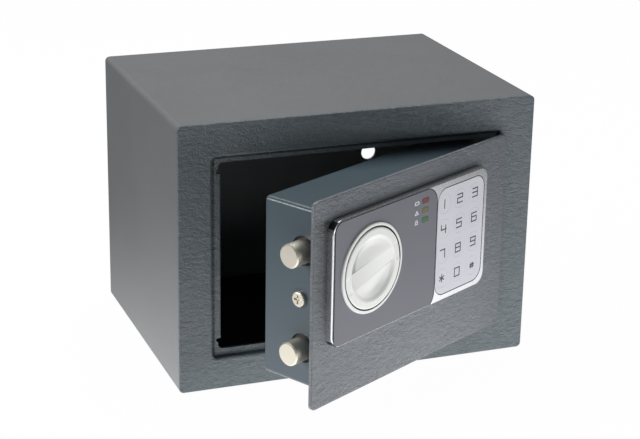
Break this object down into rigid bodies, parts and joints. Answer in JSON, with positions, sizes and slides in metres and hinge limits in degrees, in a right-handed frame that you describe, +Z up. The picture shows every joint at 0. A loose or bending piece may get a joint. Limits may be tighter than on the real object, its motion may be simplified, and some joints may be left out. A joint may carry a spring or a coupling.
{
  "type": "electronic furniture safe",
  "caption": "Small steel cupboard safe with its door ajar: recessed front opening, two round lock bolts, turning knob, numbered keypad, lamp row and a concealed right-hand hinge.",
  "frame": {"origin": "centre of the base's underside", "axes": "+X to the right of someone facing the door, +Y to the back wall, +Z up"},
  "size_m": [0.23, 0.2609, 0.169],
  "materials": {
    "paint": "wrinkle coat",
    "tray_paint": "smooth coat",
    "steel": "satin",
    "nickel": "satin",
    "mat": "felt",
    "pearl": "gloss",
    "overlay": "satin",
    "film": "satin",
    "key": "matte",
    "lens_red": "gloss",
    "lens_yellow": "gloss",
    "lens_green": "gloss",
    "board": "solder mask",
    "black_plastic": "moulded",
    "cell": "sleeve",
    "contact": "sprung strip",
    "copper": "enamelled wire",
    "wire": "sheath",
    "ribbon": "sheath",
    "button_red": "moulded"
  },
  "bodies": {
    "cabinet": {"cabinet_wrap": "paint", "front_frame": "paint", "back_plate": "paint", "floor_mat": "mat", "hinge_bracket_upper": "paint", "hinge_bracket_lower": "paint", "hinge_pins": "steel"},
    "door": {"door_plate": "paint", "door_box": "tray_paint", "hinge_arm_upper": "steel", "hinge_arm_lower": "steel", "cover_posts": "steel", "cover_screws": "steel", "bolt_guide": "steel", "side_screw": "nickel", "panel_housing": "pearl", "panel_overlay": "overlay", "keypad_film": "film", "keypad_board": "board", "knob_ring": "pearl", "panel_screws": "steel", "ribbon_cable": "ribbon", "main_board": "board", "board_spacers": "steel", "board_screws": "steel", "battery_holder": "black_plastic", "battery_cells": "cell", "battery_contacts": "contact", "lid_pin": "steel", "reset_switch": "black_plastic", "solenoid_frame": "steel", "solenoid_coil": "copper", "inner_leads": "wire", "plunger_spring": "steel", "led_red": "lens_red", "led_yellow": "lens_yellow", "led_green": "lens_green"},
    "bolts": {"bolt_upper": "nickel", "bolt_lower": "nickel", "bolt_carriage": "steel", "bolt_lug": "steel"},
    "knob": {"knob": "pearl", "spindle": "steel", "spindle_clip": "steel", "cam": "steel"},
    "plunger": {"plunger": "steel"},
    "battery_lid": {"battery_lid": "black_plastic"},
    "reset_button": {"reset_button": "button_red"},
    "key_1": {"key_1": "key"},
    "key_2": {"key_2": "key"},
    "key_3": {"key_3": "key"},
    "key_4": {"key_4": "key"},
    "key_5": {"key_5": "key"},
    "key_6": {"key_6": "key"},
    "key_7": {"key_7": "key"},
    "key_8": {"key_8": "key"},
    "key_9": {"key_9": "key"},
    "key_star": {"key_star": "key"},
    "key_0": {"key_0": "key"},
    "key_hash": {"key_hash": "key"}
  },
  "joints": [
    {"name": "door_swing", "type": "hinge", "parent": "cabinet", "child": "door", "pos_m": [0.1006, -0.077, 0.0842], "axis": [0, 0, 1], "range_deg": [-28.85, 66.15]},
    {"name": "bolts_slide", "type": "slide", "parent": "door", "child": "bolts", "axis": [0.8759, 0.4825, 0], "range_m": [0, 0.0125]},
    {"name": "knob_turn", "type": "hinge", "parent": "door", "child": "knob", "pos_m": [-0.02357, -0.15397, 0.0978], "axis": [-0.4825, 0.8759, 0], "range_deg": [0, 90]},
    {"name": "plunger_slide", "type": "slide", "parent": "door", "child": "plunger", "axis": [0, 0, -1], "range_m": [-0.004, 0], "deforming": ["plunger_spring"]},
    {"name": "battery_lid_swing", "type": "hinge", "parent": "door", "child": "battery_lid", "pos_m": [0.02914, -0.07287, 0.0508], "axis": [-0.8759, -0.4825, 0], "range_deg": [0, 80]},
    {"name": "reset_press", "type": "slide", "parent": "door", "child": "reset_button", "axis": [0.4825, -0.8759, 0], "range_m": [0, 0.0012], "stiffness_N_per_m": 300},
    {"name": "key_1_press", "type": "slide", "parent": "door", "child": "key_1", "axis": [-0.4825, 0.8759, 0], "range_m": [0, 0.0005], "stiffness_N_per_m": 800},
    {"name": "key_2_press", "type": "slide", "parent": "door", "child": "key_2", "axis": [-0.4825, 0.8759, 0], "range_m": [0, 0.0005], "stiffness_N_per_m": 800},
    {"name": "key_3_press", "type": "slide", "parent": "door", "child": "key_3", "axis": [-0.4825, 0.8759, 0], "range_m": [0, 0.0005], "stiffness_N_per_m": 800},
    {"name": "key_4_press", "type": "slide", "parent": "door", "child": "key_4", "axis": [-0.4825, 0.8759, 0], "range_m": [0, 0.0005], "stiffness_N_per_m": 800},
    {"name": "key_5_press", "type": "slide", "parent": "door", "child": "key_5", "axis": [-0.4825, 0.8759, 0], "range_m": [0, 0.0005], "stiffness_N_per_m": 800},
    {"name": "key_6_press", "type": "slide", "parent": "door", "child": "key_6", "axis": [-0.4825, 0.8759, 0], "range_m": [0, 0.0005], "stiffness_N_per_m": 800},
    {"name": "key_7_press", "type": "slide", "parent": "door", "child": "key_7", "axis": [-0.4825, 0.8759, 0], "range_m": [0, 0.0005], "stiffness_N_per_m": 800},
    {"name": "key_8_press", "type": "slide", "parent": "door", "child": "key_8", "axis": [-0.4825, 0.8759, 0], "range_m": [0, 0.0005], "stiffness_N_per_m": 800},
    {"name": "key_9_press", "type": "slide", "parent": "door", "child": "key_9", "axis": [-0.4825, 0.8759, 0], "range_m": [0, 0.0005], "stiffness_N_per_m": 800},
    {"name": "key_star_press", "type": "slide", "parent": "door", "child": "key_star", "axis": [-0.4825, 0.8759, 0], "range_m": [0, 0.0005], "stiffness_N_per_m": 800},
    {"name": "key_0_press", "type": "slide", "parent": "door", "child": "key_0", "axis": [-0.4825, 0.8759, 0], "range_m": [0, 0.0005], "stiffness_N_per_m": 800},
    {"name": "key_hash_press", "type": "slide", "parent": "door", "child": "key_hash", "axis": [-0.4825, 0.8759, 0], "range_m": [0, 0.0005], "stiffness_N_per_m": 800}
  ],
  "couplings": [
    {"joint": "knob_turn", "follows": "bolts_slide", "rad_per_m": 125.66}
  ]
}
